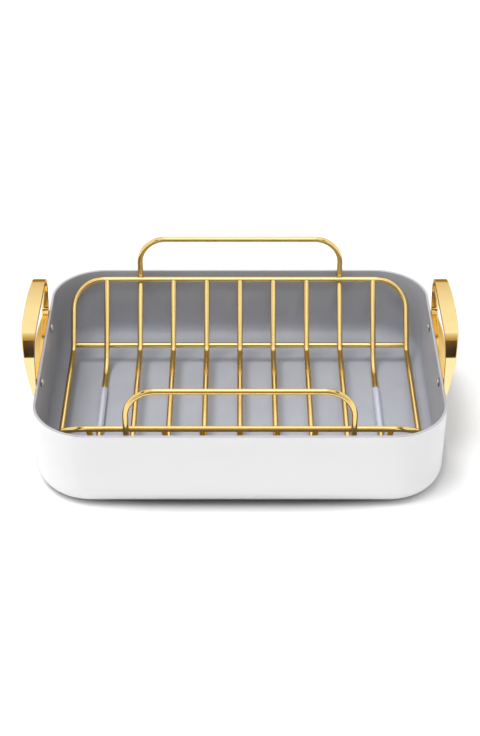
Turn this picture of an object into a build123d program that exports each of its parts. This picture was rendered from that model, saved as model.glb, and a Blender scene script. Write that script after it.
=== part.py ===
from build123d import *
import math
import os

# Roasting pan with a lift-out wire rack.
# Millimetres, +X along the long side, +Z up, origin at the bottom centre of the pan.

os.makedirs("parts", exist_ok=True)

# Pan: one pressed shell with drafted walls and a plain cut rim
rim_length = 420.0
rim_width = 323.0
pan_height = 90.0
rim_corner_radius = 59.0
wall_draft = 0.85
wall_thickness = 2.8
outer_bottom_radius = 21.0
rim_rounding = 0.8

# Pan handles: cast stirrups riveted to the short walls
handle_length = 145.0
handle_rise = 51.5
handle_corner_radius = 25.0
handle_foot_radius = 7.0
handle_opening_radius = 8.0
grip_thickness = 4.0
grip_width = 16.4
grip_lean = 0.9
handle_leg_width = 5.0
handle_base_height = 18.0
handle_base_thickness = 7.0
handle_flare = 1.7
handle_bow = 4.0
handle_rounding = 1.2

# Rivets that hold the pan handles
rivet_inset = 19.5
rivet_drop = 9.4
rivet_shank_diameter = 5.0
rivet_head_diameter = 10.0
rivet_head_height = 3.2
rivet_bore_depth = 4.0
rivet_clearance = 0.1

# Rack wires
wire_diameter = 6.0
rib_count = 5
end_wall_gap = 15.7
long_wall_gap = 11.5
weld_set_down = 0.4
rib_end_cut = 1.2
slope_run = 50.2
rack_floor_rise = 20.2
floor_bend_radius = 11.0
frame_corner_radius = 34.0
cross_wire_offset = 7.0
cross_wire_tail = 2.0

# Rack handle loop, one closed wire with a bail at the front and at the back
bail_rise = 46.0
bail_corner_radius = 29.5
bail_bend_drop = 3.0
bail_bend_radius = 10.0

# Rack feet: two U wires that reach the pan floor through soft sleeves
leg_bend_radius = 35.0
sleeve_diameter = 7.8
sleeve_end_gap = 24.0
sleeve_clearance = 0.1
rest_gap = 0.3

# One overrun for every cut
overrun = 5.0

# Places worked out from the sizes above
wire_radius = wire_diameter / 2
draft_slope = math.tan(math.radians(wall_draft))
rivet_y = handle_length / 2 - rivet_inset
rivet_z = pan_height - rivet_drop
rail_y = rim_width / 2 - wall_thickness - long_wall_gap - wire_radius
rail_z = pan_height - wire_radius
floor_y = rail_y - slope_run
floor_z = wall_thickness + rack_floor_rise
foot_z = wall_thickness + rest_gap + sleeve_diameter / 2
slope_angle = math.atan2(rail_z - floor_z, slope_run)
leg_foot_y = floor_y - (floor_z - foot_z) / math.tan(slope_angle)
sleeve_end_y = leg_foot_y - leg_bend_radius * math.tan(slope_angle / 2) - sleeve_end_gap
bail_y = rail_y + wire_diameter - weld_set_down
bail_bend_z = rail_z - bail_bend_drop
bail_top_z = pan_height + bail_rise
frame_x = rim_length / 2 - wall_thickness - end_wall_gap - wire_radius
wire_pitch = 2 * frame_x / (rib_count + 5)
loop_x = wire_pitch * (rib_count + 1) / 2
leg_x = wire_pitch * (rib_count + 3) / 2


def outer_wall_x(height):
    """Half length of the pan's outside at a height above its bottom."""
    return rim_length / 2 - (pan_height - height) * draft_slope


def wall_plane(side, along, height):
    """Plane on the outside of a short wall, facing away from the pan."""
    return Plane(
        origin=(side * outer_wall_x(height), along, height),
        x_dir=(0, 1, 0),
        z_dir=(side * math.cos(math.radians(wall_draft)), 0, -math.sin(math.radians(wall_draft))),
    )


def pan_outline(height, depth):
    """Rounded rectangle round the pan at a height, as deep as given inside the outer face."""
    inset = (pan_height - height) * draft_slope + depth / math.cos(math.radians(wall_draft))
    RectangleRounded(rim_length - 2 * inset, rim_width - 2 * inset, rim_corner_radius - inset)


# Pan body: a drafted block rounded at the bottom, less its cavity, with rivet holes in the short walls
with BuildPart() as pan_cavity:
    for height in (wall_thickness, pan_height + overrun):
        with BuildSketch(Plane.XY.offset(height)):
            pan_outline(height, wall_thickness)
    loft(ruled=True)
    fillet(pan_cavity.faces().sort_by(Axis.Z)[0].edges(), outer_bottom_radius - wall_thickness)

with BuildPart() as pan_body:
    for height in (0, pan_height):
        with BuildSketch(Plane.XY.offset(height)):
            pan_outline(height, 0)
    loft(ruled=True)
    fillet(pan_body.faces().sort_by(Axis.Z)[0].edges(), outer_bottom_radius)
    add(pan_cavity.part, mode=Mode.SUBTRACT)
    fillet(pan_body.faces().sort_by(Axis.Z)[-1].edges(), rim_rounding)
    for side in (-1, 1):
        for end in (-1, 1):
            with BuildSketch(wall_plane(side, end * rivet_y, rivet_z).offset(overrun)):
                Circle(rivet_shank_diameter / 2 + rivet_clearance)
            extrude(amount=-wall_thickness - 2 * overrun, mode=Mode.SUBTRACT)

pan_body.part.label = "pan_body"
export_step(pan_body.part, "parts/pan_body.step")


# Right handle: a flared profile swung on a wide arc, cut to a closed stirrup, seated on the wall
base_bottom_z = pan_height - handle_base_height
grip_top_z = pan_height + handle_rise
grip_inner_x = rim_length / 2 - grip_lean
grip_outer_x = grip_inner_x + grip_width
base_outer_x = outer_wall_x(base_bottom_z) + handle_base_thickness
bow_radius = ((handle_length / 2) ** 2 + handle_bow**2) / (2 * handle_bow)
bow_half_angle = math.asin((handle_length / 2 + overrun) / bow_radius)
bow_centre_x = grip_outer_x - bow_radius
profile_inner = outer_wall_x(base_bottom_z) - overrun - handle_bow - bow_centre_x
swing_start = Plane(
    origin=(bow_centre_x, 0, 0),
    x_dir=(math.cos(bow_half_angle), -math.sin(bow_half_angle), 0),
    z_dir=(-math.sin(bow_half_angle), -math.cos(bow_half_angle), 0),
)

with BuildPart() as right_handle:
    with BuildSketch(swing_start):
        with BuildLine():
            SagittaArc(
                (base_outer_x - bow_centre_x, base_bottom_z),
                (grip_outer_x - bow_centre_x, grip_top_z),
                -handle_flare,
            )
            Polyline(
                (grip_outer_x - bow_centre_x, grip_top_z),
                (profile_inner, grip_top_z),
                (profile_inner, base_bottom_z),
                (base_outer_x - bow_centre_x, base_bottom_z),
            )
        make_face()
    revolve(
        axis=Axis((bow_centre_x, 0, 0), (0, 0, 1)),
        revolution_arc=2 * math.degrees(bow_half_angle),
    )
    with BuildSketch(Plane.YZ) as stirrup:
        with Locations((0, (base_bottom_z + grip_top_z) / 2)):
            Rectangle(handle_length, grip_top_z - base_bottom_z)
        fillet(stirrup.vertices().group_by(Axis.Y)[-1], handle_corner_radius)
        fillet(stirrup.vertices().group_by(Axis.Y)[0], handle_foot_radius)
    extrude(amount=grip_outer_x + overrun, mode=Mode.INTERSECT)
    with BuildSketch(Plane.YZ) as opening:
        with Locations((0, (pan_height + grip_top_z - grip_thickness) / 2)):
            Rectangle(
                handle_length - 2 * handle_leg_width,
                grip_top_z - grip_thickness - pan_height,
            )
        fillet(opening.vertices().group_by(Axis.Y)[-1], handle_corner_radius - grip_thickness)
        fillet(opening.vertices().group_by(Axis.Y)[0], handle_opening_radius)
    extrude(amount=grip_outer_x + overrun, mode=Mode.SUBTRACT)
    with BuildSketch(Plane.XZ):
        with BuildLine():
            Polyline(
                (0, base_bottom_z - overrun),
                (outer_wall_x(base_bottom_z - overrun), base_bottom_z - overrun),
                (rim_length / 2, pan_height),
                (grip_inner_x, grip_top_z),
                (grip_inner_x, grip_top_z + overrun),
                (0, grip_top_z + overrun),
                close=True,
            )
        make_face()
    extrude(amount=handle_length / 2 + overrun, both=True, mode=Mode.SUBTRACT)
    pan_side_faces = right_handle.faces().sort_by(Axis.X)[:2]
    pan_side_edges = [edge for face in pan_side_faces for edge in face.edges()]
    fillet([edge for edge in right_handle.edges() if edge not in pan_side_edges], handle_rounding)
    for end in (-1, 1):
        with BuildSketch(wall_plane(1, end * rivet_y, rivet_z)):
            Circle(rivet_shank_diameter / 2 + rivet_clearance)
        extrude(amount=rivet_bore_depth, mode=Mode.SUBTRACT)

with BuildPart() as left_handle:
    mirror(right_handle.part, about=Plane.YZ)

for handle, handle_name in ((left_handle, "left_handle"), (right_handle, "right_handle")):
    handle.part.label = handle_name
    export_step(handle.part, f"parts/{handle_name}.step")


# Rivets: a domed head inside the pan, a shank through the wall into the handle's blind bore
rivet_shank_end = wall_thickness + rivet_bore_depth - rivet_clearance

for side, side_name in ((-1, "left"), (1, "right")):
    for end, end_name in ((-1, "front"), (1, "rear")):
        head_seat = wall_plane(side, end * rivet_y, rivet_z).offset(-wall_thickness)
        turning_plane = Plane(
            origin=head_seat.origin,
            x_dir=head_seat.x_dir,
            z_dir=head_seat.x_dir.cross(head_seat.z_dir),
        )
        with BuildPart() as rivet:
            with BuildSketch(turning_plane):
                with BuildLine():
                    TangentArc(
                        (0, -rivet_head_height),
                        (rivet_head_diameter / 2, 0),
                        tangent=(1, 0),
                    )
                    Polyline(
                        (rivet_head_diameter / 2, 0),
                        (rivet_shank_diameter / 2, 0),
                        (rivet_shank_diameter / 2, rivet_shank_end),
                        (0, rivet_shank_end),
                        (0, -rivet_head_height),
                    )
                make_face()
            revolve(axis=Axis(head_seat.origin, head_seat.z_dir))
        rivet_name = f"rivet_{side_name}_{end_name}"
        rivet.part.label = rivet_name
        export_step(rivet.part, f"parts/{rivet_name}.step")


# Rack frame: one closed wire, cradle shaped, whose two ends are the rails
with BuildPart() as rack_frame:
    with BuildLine():
        FilletPolyline(
            (frame_x, 0, floor_z),
            (frame_x, floor_y, floor_z),
            (frame_x, rail_y, rail_z),
            (-frame_x, rail_y, rail_z),
            (-frame_x, floor_y, floor_z),
            (-frame_x, 0, floor_z),
            radius=[floor_bend_radius, frame_corner_radius, frame_corner_radius, floor_bend_radius],
        )
    with BuildSketch(Plane((frame_x, 0, floor_z), x_dir=(1, 0, 0), z_dir=(0, 1, 0))):
        Circle(wire_radius)
    sweep()
    mirror(about=Plane.XZ)

rack_frame.part.label = "rack_frame"
export_step(rack_frame.part, "parts/rack_frame.step")


# Rack handle loop: one closed wire that passes outside both rails and stands up as two bails
with BuildPart() as rack_handle_loop:
    with BuildLine():
        FilletPolyline(
            (loop_x, 0, floor_z),
            (loop_x, floor_y, floor_z),
            (loop_x, bail_y, bail_bend_z),
            (loop_x, bail_y, bail_top_z),
            (-loop_x, bail_y, bail_top_z),
            (-loop_x, bail_y, bail_bend_z),
            (-loop_x, floor_y, floor_z),
            (-loop_x, 0, floor_z),
            radius=[
                floor_bend_radius,
                bail_bend_radius,
                bail_corner_radius,
                bail_corner_radius,
                bail_bend_radius,
                floor_bend_radius,
            ],
        )
    with BuildSketch(Plane((loop_x, 0, floor_z), x_dir=(1, 0, 0), z_dir=(0, 1, 0))):
        Circle(wire_radius)
    sweep()
    mirror(about=Plane.XZ)
    add(rack_frame.part, mode=Mode.SUBTRACT)

rack_handle_loop.part.label = "rack_handle_loop"
export_step(rack_handle_loop.part, "parts/rack_handle_loop.step")


# Ribs and leg wires: U wires whose ends are coped to the underside of the rails
end_y = rail_y - rib_end_cut * math.cos(slope_angle)
end_z = rail_z - rib_end_cut * math.sin(slope_angle)
rib_places = [
    (f"rib_{index + 1}", (index - (rib_count - 1) / 2) * wire_pitch, floor_y, floor_z, floor_bend_radius)
    for index in range(rib_count)
]
leg_places = [
    (f"leg_wire_{side_name}", side * leg_x, leg_foot_y, foot_z, leg_bend_radius)
    for side, side_name in ((-1, "left"), (1, "right"))
]
long_wires = [rack_frame, rack_handle_loop]

for name, wire_x, bend_y, bend_z, bend_radius in rib_places + leg_places:
    with BuildPart() as long_wire:
        with BuildLine():
            FilletPolyline(
                (wire_x, -end_y, end_z),
                (wire_x, -bend_y, bend_z),
                (wire_x, bend_y, bend_z),
                (wire_x, end_y, end_z),
                radius=bend_radius,
            )
        start_plane = Plane(
            (wire_x, -end_y, end_z),
            x_dir=(1, 0, 0),
            z_dir=(0, math.cos(slope_angle), -math.sin(slope_angle)),
        )
        with BuildSketch(start_plane):
            Circle(wire_radius)
        sweep()
        add(rack_frame.part, mode=Mode.SUBTRACT)
    long_wire.part.label = name
    export_step(long_wire.part, f"parts/{name}.step")
    long_wires.append(long_wire)


# Foot sleeves: soft tubes on the straight feet of the leg wires
for side, side_name in ((-1, "left"), (1, "right")):
    with BuildPart() as foot_sleeve:
        with BuildSketch(Plane.XZ):
            with Locations((side * leg_x, foot_z)):
                Circle(sleeve_diameter / 2)
                Circle(wire_radius + sleeve_clearance, mode=Mode.SUBTRACT)
        extrude(amount=sleeve_end_y, both=True)
    sleeve_name = f"foot_sleeve_{side_name}"
    foot_sleeve.part.label = sleeve_name
    export_step(foot_sleeve.part, f"parts/{sleeve_name}.step")


# Cross wires: straight, under the long wires at the foot of each slope, notched where they are welded
weld_distance = wire_diameter - weld_set_down
cross_y = (
    floor_y
    + cross_wire_offset * math.cos(slope_angle)
    + weld_distance * math.sin(slope_angle)
)
cross_z = (
    floor_z
    + cross_wire_offset * math.sin(slope_angle)
    - weld_distance * math.cos(slope_angle)
)

for end, end_name in ((-1, "front"), (1, "back")):
    with BuildPart() as cross_wire:
        with BuildSketch(Plane.YZ):
            with Locations((end * cross_y, cross_z)):
                Circle(wire_radius)
        extrude(amount=frame_x + cross_wire_tail, both=True)
        for long_wire in long_wires:
            add(long_wire.part, mode=Mode.SUBTRACT)
    cross_name = f"cross_wire_{end_name}"
    cross_wire.part.label = cross_name
    export_step(cross_wire.part, f"parts/{cross_name}.step")
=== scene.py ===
import math

import bmesh
import bpy
from bpy.props import FloatProperty, FloatVectorProperty, IntProperty, PointerProperty
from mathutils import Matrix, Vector


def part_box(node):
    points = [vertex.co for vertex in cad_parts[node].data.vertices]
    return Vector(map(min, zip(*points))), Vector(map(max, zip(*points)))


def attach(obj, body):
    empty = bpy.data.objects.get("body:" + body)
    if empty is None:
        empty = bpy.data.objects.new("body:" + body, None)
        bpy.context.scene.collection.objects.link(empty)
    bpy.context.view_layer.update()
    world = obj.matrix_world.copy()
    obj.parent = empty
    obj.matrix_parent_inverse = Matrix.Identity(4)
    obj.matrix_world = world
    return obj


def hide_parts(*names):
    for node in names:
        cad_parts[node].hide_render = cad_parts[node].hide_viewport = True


# Roasting pan with a lift-out wire rack: finishes, small fittings, floor, lights and camera.
# Metres, +X along the long side, +Z up, origin at the bottom centre of the pan.

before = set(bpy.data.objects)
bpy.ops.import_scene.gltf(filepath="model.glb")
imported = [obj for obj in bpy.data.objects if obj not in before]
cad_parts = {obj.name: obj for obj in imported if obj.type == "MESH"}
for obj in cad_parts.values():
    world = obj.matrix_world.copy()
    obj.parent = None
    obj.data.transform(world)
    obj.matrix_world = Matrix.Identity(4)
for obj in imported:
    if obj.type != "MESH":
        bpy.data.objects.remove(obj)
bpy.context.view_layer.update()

bl_info = {
    "name": "Roasting pan with rack",
    "version": (1, 0, 0),
    "blender": (4, 5, 0),
    "location": "View3D > Sidebar > Roaster",
    "description": "Finishes a roasting pan and its wire rack, and sets up a plain studio round them",
    "category": "Object",
}

MM = 0.001


# Colour and size helpers

def linear(hex_colour):
    """The linear red, green and blue of an sRGB colour written as six hex digits."""
    channels = [int(hex_colour[i:i + 2], 16) / 255 for i in (0, 2, 4)]
    return tuple(c / 12.92 if c <= 0.04045 else ((c + 0.055) / 1.055) ** 2.4 for c in channels)


def opaque(colour):
    """A colour with full alpha, as a colour socket takes it."""
    return (*colour[:3], 1.0)


def per_metre(size_mm):
    """The noise scale whose features are about this many millimetres across."""
    return 1 / (size_mm * MM)


# Sizes that follow the frame

PAN_TOP_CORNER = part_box("pan_body")[1]
RIM_LENGTH = 2 * PAN_TOP_CORNER.x
RIM_WIDTH = 2 * PAN_TOP_CORNER.y
PAN_HEIGHT = PAN_TOP_CORNER.z

# Zones of the pan's shell, which are also its material slots
OUTSIDE, INSIDE, RIM = range(3)


class PanSettings(bpy.types.PropertyGroup):
    """Sizes and colours of the pan's pressed shell."""

    corner_radius: FloatProperty(
        name="Corner radius", description="Plan radius of the rim's corners, outside",
        default=59 * MM, unit="LENGTH")
    bottom_radius: FloatProperty(
        name="Bottom radius", description="Radius between wall and bottom, outside",
        default=21 * MM, unit="LENGTH")
    wall: FloatProperty(
        name="Wall", description="Thickness of wall and floor", default=2.8 * MM, unit="LENGTH")
    draft: FloatProperty(
        name="Draft", description="How far the walls lean outwards", default=math.radians(0.85),
        unit="ROTATION")
    rim_rounding: FloatProperty(
        name="Rim rounding", description="Rounding of the cut rim", default=0.8 * MM, unit="LENGTH")
    outside: FloatVectorProperty(
        name="Outside", description="White ceramic enamel", default=linear("EDEDEE"), subtype="COLOR",
        min=0, max=1)
    inside: FloatVectorProperty(
        name="Inside", description="Grey ceramic coating", default=linear("ABAEB7"), subtype="COLOR",
        min=0, max=1)
    rim: FloatVectorProperty(
        name="Rim", description="Bare aluminium of the cut rim", default=linear("C6C6CB"),
        subtype="COLOR", min=0, max=1)


class RackSettings(bpy.types.PropertyGroup):
    """Sizes and colours of the wire rack, its feet and its welds."""

    wire: FloatProperty(
        name="Wire", description="Diameter of the rack wires", default=6 * MM, unit="LENGTH")
    bead: FloatProperty(
        name="Weld bead", description="Radius of a weld bead between two wires",
        default=2.2 * MM, unit="LENGTH")
    slope: FloatProperty(
        name="Slope", description="How steep the rack's two long sides are", default=math.radians(51.9),
        unit="ROTATION")
    seed: IntProperty(name="Seed", description="Seed of the weld beads' uneven size", default=7, min=0)
    gold: FloatVectorProperty(
        name="Rack gold", description="Gold plated steel wire", default=linear("F5D68D"),
        subtype="COLOR", min=0, max=1)
    sleeve_rounding: FloatProperty(
        name="Sleeve rounding", description="Rounding of the sleeves' ends", default=0.7 * MM,
        unit="LENGTH")
    sleeve: FloatVectorProperty(
        name="Sleeve", description="Translucent silicone of the feet", default=linear("C6C9DA"),
        subtype="COLOR", min=0, max=1)


class HandleSettings(bpy.types.PropertyGroup):
    """Colours of the pan's stirrup handles, sizes and colour of its rivets, and where the painted shade
    on the rivets begins.
    """

    head_height: FloatProperty(
        name="Head height", description="How far a rivet's head stands up from the wall",
        default=3.2 * MM, unit="LENGTH")
    # Below this depth from the top, the rivet's colour is painted darker towards the wall as a painted
    # shade.
    painted_shade_start: FloatProperty(
        name="Bright height", description="How far down from its top a rivet's head is bright",
        default=1.1 * MM, unit="LENGTH")
    gold: FloatVectorProperty(
        name="Handle gold", description="Polished gold plated casting", default=linear("F9E2A8"),
        subtype="COLOR", min=0, max=1)
    steel: FloatVectorProperty(
        name="Rivet steel", description="Stainless steel of the rivets", default=linear("E2E4E8"),
        subtype="COLOR", min=0, max=1)


class StageSettings(bpy.types.PropertyGroup):
    """Camera, lights and floor."""

    elevation: FloatProperty(
        name="Elevation", description="How far the camera looks down", default=math.radians(34),
        unit="ROTATION")
    distance: FloatProperty(
        name="Distance", description="From the camera to the point that it aims at", default=1.752,
        unit="LENGTH")
    lens: FloatProperty(
        name="Lens", description="Focal length for a frame 36 mm high", default=82.03)
    aim_forward: FloatProperty(
        name="Aim forward", description="How far in front of the pan's middle the camera aims",
        default=39.7 * MM, unit="LENGTH")
    aim_height: FloatProperty(
        name="Aim height", description="Height of the point that the camera aims at",
        default=89.6 * MM, unit="LENGTH")
    key: FloatProperty(
        name="Key", description="Strength of the broad soft light above on the left", default=2.1)
    fill: FloatProperty(
        name="Fill", description="Strength of the soft light in front", default=0.6)
    side: FloatProperty(
        name="Side", description="Strength of the low light from the left", default=0.48)
    kicker: FloatProperty(
        name="Kicker", description="Strength of the low light from the right", default=0.56)
    ambient: FloatProperty(
        name="Ambient", description="Strength of the room's light on surfaces", default=0.42)
    floor_lift: FloatProperty(
        name="Floor lift", description="White that the camera sees added to the floor away from the pan",
        default=0.08)


# Node helpers

# The colour sockets of a Mix node, whose other sockets have the same names
MIX_FIRST, MIX_SECOND, MIX_RESULT = 6, 7, 2


def add(tree, kind, inputs=(), **settings):
    """Adds a node with its settings; an input that is given a socket is linked to it."""
    node = tree.nodes.new(kind)
    for name, value in settings.items():
        setattr(node, name, value)
    for name, value in dict(inputs).items():
        if isinstance(value, bpy.types.NodeSocket):
            tree.links.new(value, node.inputs[name])
        else:
            node.inputs[name].default_value = value
    return node


def new_material(name):
    """A material with an empty node tree and its output node."""
    material = bpy.data.materials.new(name)
    material.use_nodes = True
    tree = material.node_tree
    tree.nodes.clear()
    output = tree.nodes.new("ShaderNodeOutputMaterial")
    return material, tree, output


def object_place(tree, stretch=(1, 1, 1)):
    """Object coordinates in metres, stretched for patterns that run one way."""
    coordinates = add(tree, "ShaderNodeTexCoord")
    mapping = add(tree, "ShaderNodeMapping", {"Vector": coordinates.outputs["Object"], "Scale": stretch})
    return mapping.outputs["Vector"]


def tinted(tree, factor, dark, light):
    """A colour that moves between two by a 0 to 1 factor."""
    mix = add(tree, "ShaderNodeMix", data_type="RGBA")
    tree.links.new(factor, mix.inputs["Factor"])
    mix.inputs[MIX_FIRST].default_value = opaque(dark)
    mix.inputs[MIX_SECOND].default_value = opaque(light)
    return mix.outputs[MIX_RESULT]


def spread(tree, factor, low, high):
    """A number between two by a 0 to 1 factor."""
    ranged = add(tree, "ShaderNodeMapRange", {"Value": factor, "To Min": low, "To Max": high})
    return ranged.outputs["Result"]


def shade(colour, amount):
    """The same colour, darker below 1 and lighter above."""
    return tuple(min(1.0, channel * amount) for channel in colour[:3])


# Materials, each from what the real surface is

# What gold plating turns to where it is seen at a grazing angle
GOLD_EDGE = linear("D4A546")


def white_enamel(settings):
    """Sprayed and fired white ceramic enamel: smooth, glossy, with a faint orange peel."""
    material, tree, output = new_material("sprayed_white_ceramic_enamel")
    place = object_place(tree)
    drift = add(tree, "ShaderNodeTexNoise", {"Vector": place, "Scale": per_metre(60), "Detail": 2.0})
    peel = add(tree, "ShaderNodeTexNoise", {"Vector": place, "Scale": per_metre(2.5), "Detail": 3.0})
    bump = add(tree, "ShaderNodeBump", {
        "Height": peel.outputs["Fac"], "Strength": 0.05, "Distance": 0.1 * MM})
    surface = add(tree, "ShaderNodeBsdfPrincipled", {
        "Base Color": tinted(tree, drift.outputs["Fac"], shade(settings.outside, 0.985),
                             settings.outside),
        "Roughness": spread(tree, peel.outputs["Fac"], 0.26, 0.34),
        "IOR": 1.5, "Coat Weight": 0.25, "Coat Roughness": 0.12, "Normal": bump.outputs["Normal"]})
    tree.links.new(surface.outputs["BSDF"], output.inputs["Surface"])
    return material


def grey_ceramic(settings):
    """Sol-gel ceramic non-stick coating: satin grey with a very fine mineral speckle."""
    material, tree, output = new_material("satin_grey_ceramic_coating")
    place = object_place(tree)
    # The real speckle is about 0.2 mm; 0.9 mm is as fine as the render can show.
    speckle = add(tree, "ShaderNodeTexNoise", {"Vector": place, "Scale": per_metre(0.9), "Detail": 2.0})
    cloud = add(tree, "ShaderNodeTexNoise", {"Vector": place, "Scale": per_metre(45), "Detail": 2.0})
    mottle = add(tree, "ShaderNodeMath", {0: speckle.outputs["Fac"], 1: cloud.outputs["Fac"]},
                 operation="MULTIPLY")
    bump = add(tree, "ShaderNodeBump", {
        "Height": speckle.outputs["Fac"], "Strength": 0.08, "Distance": 0.05 * MM})
    surface = add(tree, "ShaderNodeBsdfPrincipled", {
        "Base Color": tinted(tree, spread(tree, mottle.outputs["Value"], -0.4, 1.9),
                             shade(settings.inside, 0.9), shade(settings.inside, 1.1)),
        "Roughness": spread(tree, cloud.outputs["Fac"], 0.28, 0.34),
        "IOR": 1.5, "Normal": bump.outputs["Normal"]})
    tree.links.new(surface.outputs["BSDF"], output.inputs["Surface"])
    return material


def rim_aluminium(settings):
    """Bare aluminium where the shell is cut and buffed: pale, with fine lines along the rim."""
    material, tree, output = new_material("buffed_aluminium_rim")
    lines = add(tree, "ShaderNodeTexNoise", {
        "Vector": object_place(tree), "Scale": per_metre(1.2), "Detail": 3.0})
    bump = add(tree, "ShaderNodeBump", {
        "Height": lines.outputs["Fac"], "Strength": 0.1, "Distance": 0.05 * MM})
    surface = add(tree, "ShaderNodeBsdfPrincipled", {
        "Base Color": tinted(tree, lines.outputs["Fac"], shade(settings.rim, 0.93), settings.rim),
        "Metallic": 0.55, "Roughness": spread(tree, lines.outputs["Fac"], 0.3, 0.42),
        "Normal": bump.outputs["Normal"]})
    tree.links.new(surface.outputs["BSDF"], output.inputs["Surface"])
    return material


def plated_gold(name, colour, drawn, rough):
    """Gold plating over polished metal: mirror bright, with ripples that are finer on drawn wire."""
    material, tree, output = new_material(name)
    place = object_place(tree)
    ripple_mm = 3.0 if drawn else 6.0
    fine = add(tree, "ShaderNodeTexNoise", {
        "Vector": place, "Scale": per_metre(ripple_mm), "Detail": 2.0})
    wide = add(tree, "ShaderNodeTexNoise", {"Vector": place, "Scale": per_metre(28), "Detail": 2.0})
    bump = add(tree, "ShaderNodeBump", {
        "Height": fine.outputs["Fac"], "Strength": 0.04, "Distance": 0.08 * MM})
    surface = add(tree, "ShaderNodeBsdfPrincipled", {
        "Base Color": tinted(tree, wide.outputs["Fac"], shade(colour, 0.94), shade(colour, 1.04)),
        "Metallic": 1.0, "Roughness": spread(tree, fine.outputs["Fac"], rough * 0.85, rough * 1.15),
        "Specular Tint": opaque(GOLD_EDGE), "Coat Weight": 0.06, "Coat Roughness": 0.08,
        "Normal": bump.outputs["Normal"]})
    tree.links.new(surface.outputs["BSDF"], output.inputs["Surface"])
    return material


def pressed_steel(settings):
    """Stainless steel rivets: polished domes with fine marks, with painted shade where the head meets
    the wall.
    """
    material, tree, output = new_material("pressed_stainless_steel")
    head_top = abs(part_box("rivet_left_front")[1].x)
    place = object_place(tree)
    parts = add(tree, "ShaderNodeSeparateXYZ", {"Vector": place})
    outward = add(tree, "ShaderNodeMath", {0: parts.outputs["X"]}, operation="ABSOLUTE")
    # Painted shade: the head's colour turns nearly black from just below its top down to the wall.
    foot = add(tree, "ShaderNodeMapRange", {
        "Value": outward.outputs["Value"], "From Min": head_top + settings.painted_shade_start,
        "From Max": head_top + settings.head_height})
    marks = add(tree, "ShaderNodeTexNoise", {
        "Vector": place, "Scale": per_metre(0.8), "Detail": 4.0})
    bump = add(tree, "ShaderNodeBump", {
        "Height": marks.outputs["Fac"], "Strength": 0.12, "Distance": 0.05 * MM})
    surface = add(tree, "ShaderNodeBsdfPrincipled", {
        "Base Color": tinted(tree, foot.outputs["Result"], settings.steel, shade(settings.steel, 0.05)),
        "Metallic": 1.0, "Roughness": spread(tree, marks.outputs["Fac"], 0.1, 0.16),
        "Normal": bump.outputs["Normal"]})
    tree.links.new(surface.outputs["BSDF"], output.inputs["Surface"])
    return material


def clear_silicone(settings):
    """Extruded silicone tube: translucent and faintly frosted along its length, with a wet gloss."""
    material, tree, output = new_material("extruded_translucent_silicone")
    place = object_place(tree, (1, 0.1, 1))
    frost = add(tree, "ShaderNodeTexNoise", {"Vector": place, "Scale": per_metre(1.5), "Detail": 3.0})
    bump = add(tree, "ShaderNodeBump", {
        "Height": frost.outputs["Fac"], "Strength": 0.08, "Distance": 0.05 * MM})
    surface = add(tree, "ShaderNodeBsdfPrincipled", {
        "Base Color": tinted(tree, frost.outputs["Fac"], shade(settings.sleeve, 0.95), settings.sleeve),
        "Roughness": spread(tree, frost.outputs["Fac"], 0.16, 0.24),
        "IOR": 1.41, "Specular IOR Level": 1.0,
        "Subsurface Weight": 0.5, "Subsurface Radius": (2 * MM, 2 * MM, 2.2 * MM),
        "Subsurface Scale": 1.0, "Coat Weight": 1.0, "Coat Roughness": 0.06,
        "Normal": bump.outputs["Normal"]})
    tree.links.new(surface.outputs["BSDF"], output.inputs["Surface"])
    return material


# Mesh helpers

def link_mesh(name, mesh, body):
    """Puts a finished mesh in the scene, riding on its body."""
    piece = bpy.data.objects.new(name, mesh)
    bpy.context.scene.collection.objects.link(piece)
    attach(piece, body)
    return piece


def give(node_names, material):
    """Assigns one material to CAD nodes."""
    for name in node_names:
        mesh_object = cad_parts[name]
        mesh_object.data.materials.clear()
        mesh_object.data.materials.append(material)


def nodes_starting(*starts):
    """Names of the CAD nodes that start with any of these words."""
    return [name for name in sorted(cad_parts) if name.startswith(starts)]


def middle_of(name):
    """The middle of a CAD node's box."""
    low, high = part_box(name)
    return (low + high) / 2


def join_rings(shape, first, second, zone=0):
    """Smooth faces between two closed rings of as many points each."""
    for i in range(len(first)):
        j = (i + 1) % len(first)
        face = shape.faces.new((first[i], first[j], second[j], second[i]))
        face.material_index = zone
        face.smooth = True


def rounded_edge(radius, steps):
    """Points round an edge, each as how far it lies inside the one face and inside the other."""
    angles = [math.pi / 2 * step / steps for step in range(steps + 1)]
    return [(radius * (1 - math.sin(angle)), radius * (1 - math.cos(angle))) for angle in angles]


def rounded_ring(inset, height, radius, corner_steps=24, long_steps=22, short_steps=16):
    """Points round a rounded rectangle, moved in from the rim's outline by an inset."""
    half_x = RIM_LENGTH / 2 - radius
    half_y = RIM_WIDTH / 2 - radius
    reach = radius - inset
    corners = ((half_x, half_y), (-half_x, half_y), (-half_x, -half_y), (half_x, -half_y))

    def on_corner(number, quarter_turns):
        x, y = corners[number % len(corners)]
        angle = math.pi / 2 * quarter_turns
        return Vector((x + reach * math.cos(angle), y + reach * math.sin(angle), height))

    points = []
    for number in range(len(corners)):
        points += [on_corner(number, number + step / corner_steps) for step in range(corner_steps + 1)]
        start = points[-1]
        end = on_corner(number + 1, number + 1)
        steps = long_steps if number % 2 == 0 else short_steps
        points += [start.lerp(end, step / steps) for step in range(1, steps)]
    return points


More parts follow.
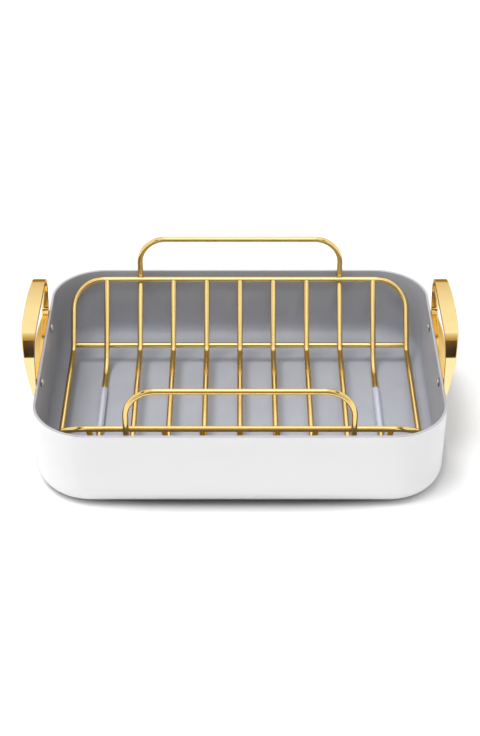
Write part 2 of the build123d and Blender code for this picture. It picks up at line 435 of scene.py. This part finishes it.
def pan_profile(settings, arc_steps=14, flat_steps=4, wall_steps=10, rim_steps=5, flat_share=0.85):
    """The shell's section as (inset, height, zone), from under the bottom over the rim to the floor."""
    lean = math.tan(settings.draft)
    slant = math.cos(settings.draft)
    radius = settings.bottom_radius
    wall = settings.wall
    arc_inset = (PAN_HEIGHT - radius) * lean + radius / slant
    last_inset = settings.corner_radius * flat_share

    def arc(reach, steps):
        angles = [(math.pi / 2 - settings.draft) * step / arc_steps - math.pi / 2 for step in steps]
        return [
            (arc_inset - reach * math.cos(angle), radius + reach * math.sin(angle)) for angle in angles
        ]

    def straight(start, end, depth, steps):
        heights = [start + (end - start) * step / wall_steps for step in steps]
        return [((PAN_HEIGHT - height) * lean + depth / slant, height) for height in heights]

    rim_start = PAN_HEIGHT - settings.rim_rounding
    outside = [
        (last_inset + (arc_inset - last_inset) * step / flat_steps, 0.0) for step in range(flat_steps)
    ]
    outside += arc(radius, range(arc_steps + 1))
    outside += straight(outside[-1][1], rim_start, 0, range(1, wall_steps + 1))
    edge = rounded_edge(settings.rim_rounding, rim_steps)
    rim = [(inset, PAN_HEIGHT - drop) for drop, inset in edge[1:]]
    rim += [(wall - inset, PAN_HEIGHT - drop) for inset, drop in edge]
    inner_arc = arc(radius - wall, range(arc_steps, -1, -1))
    inside = straight(rim_start, inner_arc[0][1], wall, range(1, wall_steps))
    inside += inner_arc
    inside += [
        (arc_inset + (last_inset - arc_inset) * step / flat_steps, wall)
        for step in range(1, flat_steps + 1)
    ]
    zones = ((outside, OUTSIDE), (rim, RIM), (inside, INSIDE))
    return [(*point, zone) for points, zone in zones for point in points]


class ROASTER_OT_pan_shell(bpy.types.Operator):
    """Makes the pan's shell with its white outside, bare rim and grey inside"""

    bl_idname = "roaster.pan_shell"
    bl_label = "Pan shell"

    def execute(self, context):
        settings = context.scene.roaster_pan
        shell = bmesh.new()
        profile = pan_profile(settings)
        rings = [
            [shell.verts.new(point) for point in rounded_ring(inset, height, settings.corner_radius)]
            for inset, height, _ in profile
        ]
        for first, second, (_, _, zone) in zip(rings, rings[1:], profile[1:]):
            join_rings(shell, first, second, zone)
        bottom = shell.faces.new(list(reversed(rings[0])))
        floor = shell.faces.new(rings[-1])
        floor.material_index = INSIDE
        bmesh.ops.recalc_face_normals(shell, faces=shell.faces)
        if bottom.normal.z > 0:
            raise RuntimeError("the pan's shell is inside out")
        mesh = bpy.data.meshes.new("pan_shell")
        shell.to_mesh(mesh)
        shell.free()
        for material in (white_enamel(settings), grey_ceramic(settings), rim_aluminium(settings)):
            mesh.materials.append(material)
        piece = link_mesh("pan_shell", mesh, "pan")
        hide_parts("pan_body")
        return {"FINISHED"}


class ROASTER_OT_pan_handles(bpy.types.Operator):
    """Gives the stirrup handles their polished gold and the rivets their steel"""

    bl_idname = "roaster.pan_handles"
    bl_label = "Pan handles and rivets"

    def execute(self, context):
        settings = context.scene.roaster_handles
        give(["left_handle", "right_handle"],
             plated_gold("polished_gold_plated_casting", settings.gold, False, 0.11))
        give(nodes_starting("rivet_"), pressed_steel(settings))
        return {"FINISHED"}


class ROASTER_OT_rack_wires(bpy.types.Operator):
    """Gives every wire of the rack its bright gold plating"""

    bl_idname = "roaster.rack_wires"
    bl_label = "Rack wires"

    def execute(self, context):
        settings = context.scene.roaster_rack
        give(nodes_starting("rack_", "rib_", "leg_wire_", "cross_wire_"),
             plated_gold("gold_plated_drawn_steel_wire", settings.gold, True, 0.14))
        return {"FINISHED"}


# Where the weld beads sit, as shares of the wire's radius from the middle of a wire or its end
CROSS_WELD_SHARE = 0.8
RAIL_WELD_SHARE = 0.75
RAIL_WELD_DROP_SHARE = 1.4
LOOP_WELD_SHARE = 0.95


def weld_places(wire, slope):
    """Points midway between the wires wherever two of them are welded."""
    radius = wire / 2
    cross = middle_of("cross_wire_back")
    cross_y = cross.y - CROSS_WELD_SHARE * radius * math.sin(slope)
    cross_z = cross.z + CROSS_WELD_SHARE * radius * math.cos(slope)
    frame_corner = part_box("rack_frame")[1]
    side_x = frame_corner.x - radius
    rail_y = frame_corner.y - radius
    rail_z = frame_corner.z - radius
    rib_end_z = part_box("rib_1")[1].z
    loop_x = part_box("rack_handle_loop")[1].x - radius
    leg_x = middle_of("foot_sleeve_right").x
    long_x = [middle_of(name).x for name in nodes_starting("rib_")] + [-leg_x, leg_x]
    places = []
    for side in (-1, 1):
        for x in long_x + [-loop_x, loop_x, -side_x, side_x]:
            places.append((x, side * cross_y, cross_z))
        for x in long_x:
            places.append((x, side * (rail_y - RAIL_WELD_SHARE * radius),
                           rib_end_z - RAIL_WELD_DROP_SHARE * radius))
        for x in (-loop_x, loop_x):
            places.append((x, side * (rail_y + LOOP_WELD_SHARE * radius), rail_z))
    return places


def bead_tree(material):
    """A node tree that puts an uneven weld bead on every point."""
    tree = bpy.data.node_groups.new("weld_beads", "GeometryNodeTree")
    interface = tree.interface
    interface.new_socket("Geometry", in_out="INPUT", socket_type="NodeSocketGeometry")
    interface.new_socket("Bead Radius", in_out="INPUT", socket_type="NodeSocketFloat")
    interface.new_socket("Seed", in_out="INPUT", socket_type="NodeSocketInt")
    interface.new_socket("Geometry", in_out="OUTPUT", socket_type="NodeSocketGeometry")
    given = tree.nodes.new("NodeGroupInput")
    result = tree.nodes.new("NodeGroupOutput")
    bead = add(tree, "GeometryNodeMeshUVSphere", {
        "Segments": 16, "Rings": 10, "Radius": given.outputs["Bead Radius"]})
    smooth = add(tree, "GeometryNodeSetShadeSmooth", {"Geometry": bead.outputs["Mesh"]})
    size = add(tree, "FunctionNodeRandomValue", {
        "Min": (0.9, 0.9, 0.85), "Max": (1.1, 1.1, 1.0), "Seed": given.outputs["Seed"]},
        data_type="FLOAT_VECTOR")
    placed = add(tree, "GeometryNodeInstanceOnPoints", {
        "Points": given.outputs["Geometry"], "Instance": smooth.outputs["Geometry"],
        "Scale": size.outputs["Value"]})
    real = add(tree, "GeometryNodeRealizeInstances", {"Geometry": placed.outputs["Instances"]})
    finished = add(tree, "GeometryNodeSetMaterial", {"Geometry": real.outputs["Geometry"]})
    finished.inputs["Material"].default_value = material
    tree.links.new(finished.outputs["Geometry"], result.inputs["Geometry"])
    return tree


def grow(name, source, tree, values):
    """Runs a node tree on a source object, removes the source, and returns the plain mesh."""
    modifier = source.modifiers.new(name, "NODES")
    modifier.node_group = tree
    sockets = {
        item.name: item.identifier for item in tree.interface.items_tree
        if item.item_type == "SOCKET" and item.in_out == "INPUT"
    }
    for label, value in values.items():
        modifier[sockets[label]] = value
    bpy.context.view_layer.update()
    evaluated = source.evaluated_get(bpy.context.evaluated_depsgraph_get())
    mesh = bpy.data.meshes.new_from_object(evaluated)
    mesh.name = name
    source.modifiers.remove(modifier)
    bpy.data.objects.remove(source)
    return mesh


class ROASTER_OT_weld_beads(bpy.types.Operator):
    """Sets a small weld bead wherever two wires of the rack are joined"""

    bl_idname = "roaster.weld_beads"
    bl_label = "Weld beads"

    def execute(self, context):
        settings = context.scene.roaster_rack
        points = bpy.data.meshes.new("weld_points")
        points.from_pydata(weld_places(settings.wire, settings.slope), [], [])
        source = bpy.data.objects.new("weld_points", points)
        context.scene.collection.objects.link(source)
        material = plated_gold("gold_plated_weld", settings.gold, False, 0.2)
        mesh = grow("weld_beads", source, bead_tree(material),
                    {"Bead Radius": settings.bead, "Seed": settings.seed})
        if not mesh.polygons:
            raise RuntimeError("no weld beads were made")
        link_mesh("weld_beads", mesh, "rack")
        return {"FINISHED"}


# Room between the leg wire and the sleeve's bore
SLEEVE_FIT = 0.05 * MM

# Where rings of faces meet along a sleeve, as shares of half its length from its middle
SLEEVE_RING_SHARES = (-0.76, -0.38, 0.0, 0.38, 0.76)


def sleeve_section(settings, radius, half, arc_steps=5):
    """A sleeve's closed section as (reach, along), from its bore round both rounded ends."""
    bore = settings.wire / 2 + SLEEVE_FIT
    edge = rounded_edge(settings.sleeve_rounding, arc_steps)
    section = [(bore, -half)]
    section += [(radius - inset, inward - half) for inset, inward in edge]
    section += [(radius, half * share) for share in SLEEVE_RING_SHARES]
    section += [(radius - inset, half - inward) for inset, inward in reversed(edge)]
    section.append((bore, half))
    return section


def tube_mesh(name, middle, section, segments=40):
    """A tube along Y round a middle, turned from a closed section."""
    tube = bmesh.new()
    turns = [2 * math.pi * i / segments for i in range(segments)]
    rings = [
        [
            tube.verts.new(middle + Vector((reach * math.cos(turn), along, reach * math.sin(turn))))
            for turn in turns
        ]
        for reach, along in section
    ]
    for first, second in zip(rings, rings[1:] + rings[:1]):
        join_rings(tube, first, second)
    bmesh.ops.recalc_face_normals(tube, faces=tube.faces)
    mesh = bpy.data.meshes.new(name)
    tube.to_mesh(mesh)
    tube.free()
    return mesh


class ROASTER_OT_foot_sleeves(bpy.types.Operator):
    """Makes the two soft sleeves on the rack's feet, with rounded ends"""

    bl_idname = "roaster.foot_sleeves"
    bl_label = "Foot sleeves"

    def execute(self, context):
        settings = context.scene.roaster_rack
        material = clear_silicone(settings)
        for name in nodes_starting("foot_sleeve_"):
            low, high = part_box(name)
            section = sleeve_section(settings, (high.x - low.x) / 2, (high.y - low.y) / 2)
            piece_name = name.replace("foot_", "")
            mesh = tube_mesh(piece_name, middle_of(name), section)
            mesh.materials.append(material)
            piece = link_mesh(piece_name, mesh, "rack")
            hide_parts(name)
        return {"FINISHED"}


# Stage

# Half the length and width of the floor
FLOOR_HALF = 6.0

# How far from the pan a lamp is drawn; its light is the same from anywhere
LAMP_DISTANCE = 2.0


def seen_rays(tree):
    """1 for rays that the camera sends, also by way of metal or glass, and 0 for the rest."""
    path = add(tree, "ShaderNodeLightPath")
    gloss = add(tree, "ShaderNodeMath", {
        0: path.outputs["Is Camera Ray"], 1: path.outputs["Is Glossy Ray"]}, operation="MAXIMUM")
    through = add(tree, "ShaderNodeMath", {
        0: gloss.outputs["Value"], 1: path.outputs["Is Transmission Ray"]}, operation="MAXIMUM")
    return through.outputs["Value"]


def white_world(settings):
    """A white room: full white where it is seen, softer where it lights."""
    world = bpy.data.worlds.new("white_room")
    world.use_nodes = True
    tree = world.node_tree
    tree.nodes.clear()
    strength = add(tree, "ShaderNodeMapRange", {
        "Value": seen_rays(tree), "To Min": settings.ambient, "To Max": 1.0})
    room = add(tree, "ShaderNodeBackground", {
        "Color": (1, 1, 1, 1), "Strength": strength.outputs["Result"]})
    output = add(tree, "ShaderNodeOutputWorld", {"Surface": room.outputs["Background"]})
    output.is_active_output = True
    bpy.context.scene.world = world


def floor_material(settings):
    """Matt white paper with a painted contact shadow beneath the pan; the camera sees it lifted to white
    away from the pan, with the shadows kept.
    """
    material, tree, output = new_material("white_paper_floor")
    # How far out a place is: 1 at the rim's outline, measured with a fourth power for its round corners.
    reach = add(tree, "ShaderNodeVectorMath", {
        0: object_place(tree), 1: (2 / RIM_LENGTH, 2 / RIM_WIDTH, 0)}, operation="MULTIPLY")
    parts = add(tree, "ShaderNodeSeparateXYZ", {"Vector": reach.outputs["Vector"]})
    across = add(tree, "ShaderNodeMath", {0: parts.outputs["X"], 1: 4.0}, operation="POWER")
    along = add(tree, "ShaderNodeMath", {0: parts.outputs["Y"], 1: 4.0}, operation="POWER")
    both = add(tree, "ShaderNodeMath", {0: across.outputs["Value"], 1: along.outputs["Value"]})
    distance = add(tree, "ShaderNodeMath", {0: both.outputs["Value"], 1: 0.25}, operation="POWER")
    # Painted shadow: the paper's colour is painted grey right beneath the pan, which deepens the shadow
    # where it stands.
    under = add(tree, "ShaderNodeMapRange", {
        "Value": distance.outputs["Value"], "From Min": 0.94, "From Max": 1.06})
    paper = add(tree, "ShaderNodeBsdfDiffuse", {
        "Color": tinted(tree, under.outputs["Result"], linear("8C8C8C"), linear("EDEDED"))})
    away = add(tree, "ShaderNodeMapRange", {
        "Value": distance.outputs["Value"], "From Min": 1.0, "From Max": 1.16,
        "To Min": 0.0, "To Max": settings.floor_lift})
    lift = add(tree, "ShaderNodeMath", {0: seen_rays(tree), 1: away.outputs["Result"]},
               operation="MULTIPLY")
    glow = add(tree, "ShaderNodeEmission", {"Color": (1, 1, 1, 1), "Strength": lift.outputs["Value"]})
    lit = add(tree, "ShaderNodeAddShader", {0: paper.outputs["BSDF"], 1: glow.outputs["Emission"]})
    tree.links.new(lit.outputs["Shader"], output.inputs["Surface"])
    return material


def far_light(name, direction, spread_angle, strength):
    """A soft light from far away in a direction, as broad as an angle, even over the whole floor."""
    lamp = bpy.data.lights.new(name, "SUN")
    lamp.energy = strength
    lamp.angle = math.radians(spread_angle)
    light = bpy.data.objects.new(name, lamp)
    light.location = Vector(direction).normalized() * LAMP_DISTANCE
    light.rotation_euler = Vector(direction).to_track_quat("Z", "Y").to_euler()
    light.visible_glossy = False
    bpy.context.scene.collection.objects.link(light)


def flat_object(name, corners, material):
    """An object of one four-sided face, put in the scene."""
    mesh = bpy.data.meshes.new(name)
    mesh.from_pydata(corners, [], [(0, 1, 2, 3)])
    mesh.materials.append(material)
    flat = bpy.data.objects.new(name, mesh)
    bpy.context.scene.collection.objects.link(flat)
    return flat


def paper_floor(settings):
    """A large square of white paper that the pan stands on."""
    half = FLOOR_HALF
    corners = [(-half, -half, 0), (half, -half, 0), (half, half, 0), (-half, half, 0)]
    ground = flat_object("floor", corners, floor_material(settings))


def panel_material(name, front, back=None, reach=(0.0, 1.0), strength=1.0):
    """A lit studio panel of one colour, or one that turns to a second over a reach in Y."""
    material, tree, output = new_material(name)
    place = add(tree, "ShaderNodeSeparateXYZ", {"Vector": object_place(tree)})
    along = add(tree, "ShaderNodeMapRange", {
        "Value": place.outputs["Y"], "From Min": reach[0], "From Max": reach[1]})
    sheet = add(tree, "ShaderNodeEmission", {
        "Color": tinted(tree, along.outputs["Result"], front, back or front), "Strength": strength})
    tree.links.new(sheet.outputs["Emission"], output.inputs["Surface"])
    return material


def reflected_panel(name, across, low, high, material):
    """A panel that shows only in reflections; it spans in X, and rises from low to high in Y and Z."""
    left, right = across
    corners = [(left, *low), (right, *low), (right, *high), (left, *high)]
    panel = flat_object(name, corners, material)
    panel.visible_camera = False
    panel.visible_diffuse = False
    panel.visible_shadow = False


def reflected_panels():
    """White panels for highlights, and brown ones that give polished gold its deep tones."""
    deep = panel_material("dark_brown_panel", linear("301E04"), linear("63441A"), (-0.3, -0.09))
    brown = panel_material("brown_panel", linear("A99156"))
    amber = panel_material("amber_panel", linear("BC9A40"), linear("F4EEDC"), (-0.07, 0.09))
    gold = panel_material("golden_panel", linear("FFFFFA"), linear("C4A362"), (0.355, 0.46), 1.1)
    cool = panel_material("cool_white_panel", linear("E9EEFF"), strength=1.6)
    bright = panel_material("bright_white_panel", linear("ECF0FF"), strength=2.0)
    # Five panels round each handle: one in front of it, three over it and one far behind it.
    over = 0.36
    for side, near, far in (
            ("left", (-0.29, -0.225), (-0.5, -0.25)), ("right", (0.225, 0.29), (0.25, 0.5))):
        reflected_panel(side + "_front_flag", near, (-0.3, 0.12), (-0.3, over), deep)
        reflected_panel(side + "_top_flag", near, (-0.3, over), (-0.09, over), deep)
        reflected_panel(side + "_top_panel", near, (-0.09, over), (0.1, over), amber)
        reflected_panel(side + "_far_panel", near, (0.1, over), (0.6, over), gold)
        reflected_panel(side + "_back_flag", far, (1.2, 0.0), (1.2, 0.75), brown)
    reflected_panel("front_flag", (-0.18, 0.18), (-0.36, 0.0), (-0.36, 0.42), brown)
    reflected_panel("high_softbox", (-0.3, 0.3), (-1.7, 1.3), (0.5, 1.3), bright)
    reflected_panel("back_softbox", (-1.2, 1.2), (1.5, 0.85), (1.5, 1.45), cool)


def photo_camera(settings):
    """A camera straight in front of the pan that looks down on it."""
    camera_data = bpy.data.cameras.new("photo_camera")
    camera_data.sensor_fit = "VERTICAL"
    camera_data.sensor_height = 36
    camera_data.lens = settings.lens
    camera_data.clip_end = 20
    camera = bpy.data.objects.new("photo_camera", camera_data)
    aim = Vector((0, -settings.aim_forward, settings.aim_height))
    away = Vector((0, -math.cos(settings.elevation), math.sin(settings.elevation)))
    camera.location = aim + settings.distance * away
    camera.rotation_euler = (math.pi / 2 - settings.elevation, 0, 0)
    bpy.context.scene.collection.objects.link(camera)
    return camera


class ROASTER_OT_stage(bpy.types.Operator):
    """Sets up the floor, the white room, the lights and the camera"""

    bl_idname = "roaster.stage"
    bl_label = "Stage"

    def execute(self, context):
        scene = context.scene
        settings = scene.roaster_stage
        scene.view_settings.view_transform = "Standard"
        white_world(settings)
        paper_floor(settings)
        far_light("key_light", (-0.28, -0.16, 1), 28, settings.key)
        far_light("side_light", (-1, 0.1, 0.27), 24, settings.side)
        far_light("fill_light", (0.1, -0.75, 1), 20, settings.fill)
        far_light("kicker_light", (1, 0.45, 0.02), 12, settings.kicker)
        reflected_panels()
        scene.camera = photo_camera(settings)
        return {"FINISHED"}


class ROASTER_PT_panel(bpy.types.Panel):
    """Lists the roaster's making steps and its sizes"""

    bl_label = "Roaster"
    bl_idname = "ROASTER_PT_panel"
    bl_space_type = "VIEW_3D"
    bl_region_type = "UI"
    bl_category = "Roaster"

    def draw(self, context):
        layout = self.layout
        for operator in OPERATORS:
            layout.operator(operator.bl_idname)
        for group_name in SETTINGS:
            group = getattr(context.scene, group_name)
            for name in group.bl_rna.properties.keys():
                if name not in ("rna_type", "name"):
                    layout.prop(group, name)


SETTINGS = {
    "roaster_pan": PanSettings,
    "roaster_rack": RackSettings,
    "roaster_handles": HandleSettings,
    "roaster_stage": StageSettings,
}
OPERATORS = (
    ROASTER_OT_pan_shell,
    ROASTER_OT_pan_handles,
    ROASTER_OT_rack_wires,
    ROASTER_OT_weld_beads,
    ROASTER_OT_foot_sleeves,
    ROASTER_OT_stage,
)


def register():
    """Registers the settings, the operators and the panel."""
    for name, group in SETTINGS.items():
        bpy.utils.register_class(group)
        setattr(bpy.types.Scene, name, PointerProperty(type=group))
    for operator in OPERATORS:
        bpy.utils.register_class(operator)
    bpy.utils.register_class(ROASTER_PT_panel)


def unregister():
    """Takes them out again, in the other order."""
    bpy.utils.unregister_class(ROASTER_PT_panel)
    for operator in reversed(OPERATORS):
        bpy.utils.unregister_class(operator)
    for name, group in reversed(SETTINGS.items()):
        delattr(bpy.types.Scene, name)
        bpy.utils.unregister_class(group)


def main():
    """Makes the whole picture: each piece in turn, then the stage."""
    register()
    bpy.ops.roaster.pan_shell()
    bpy.ops.roaster.pan_handles()
    bpy.ops.roaster.rack_wires()
    bpy.ops.roaster.weld_beads()
    bpy.ops.roaster.foot_sleeves()
    bpy.ops.roaster.stage()


if __name__ == "__main__":
    main()
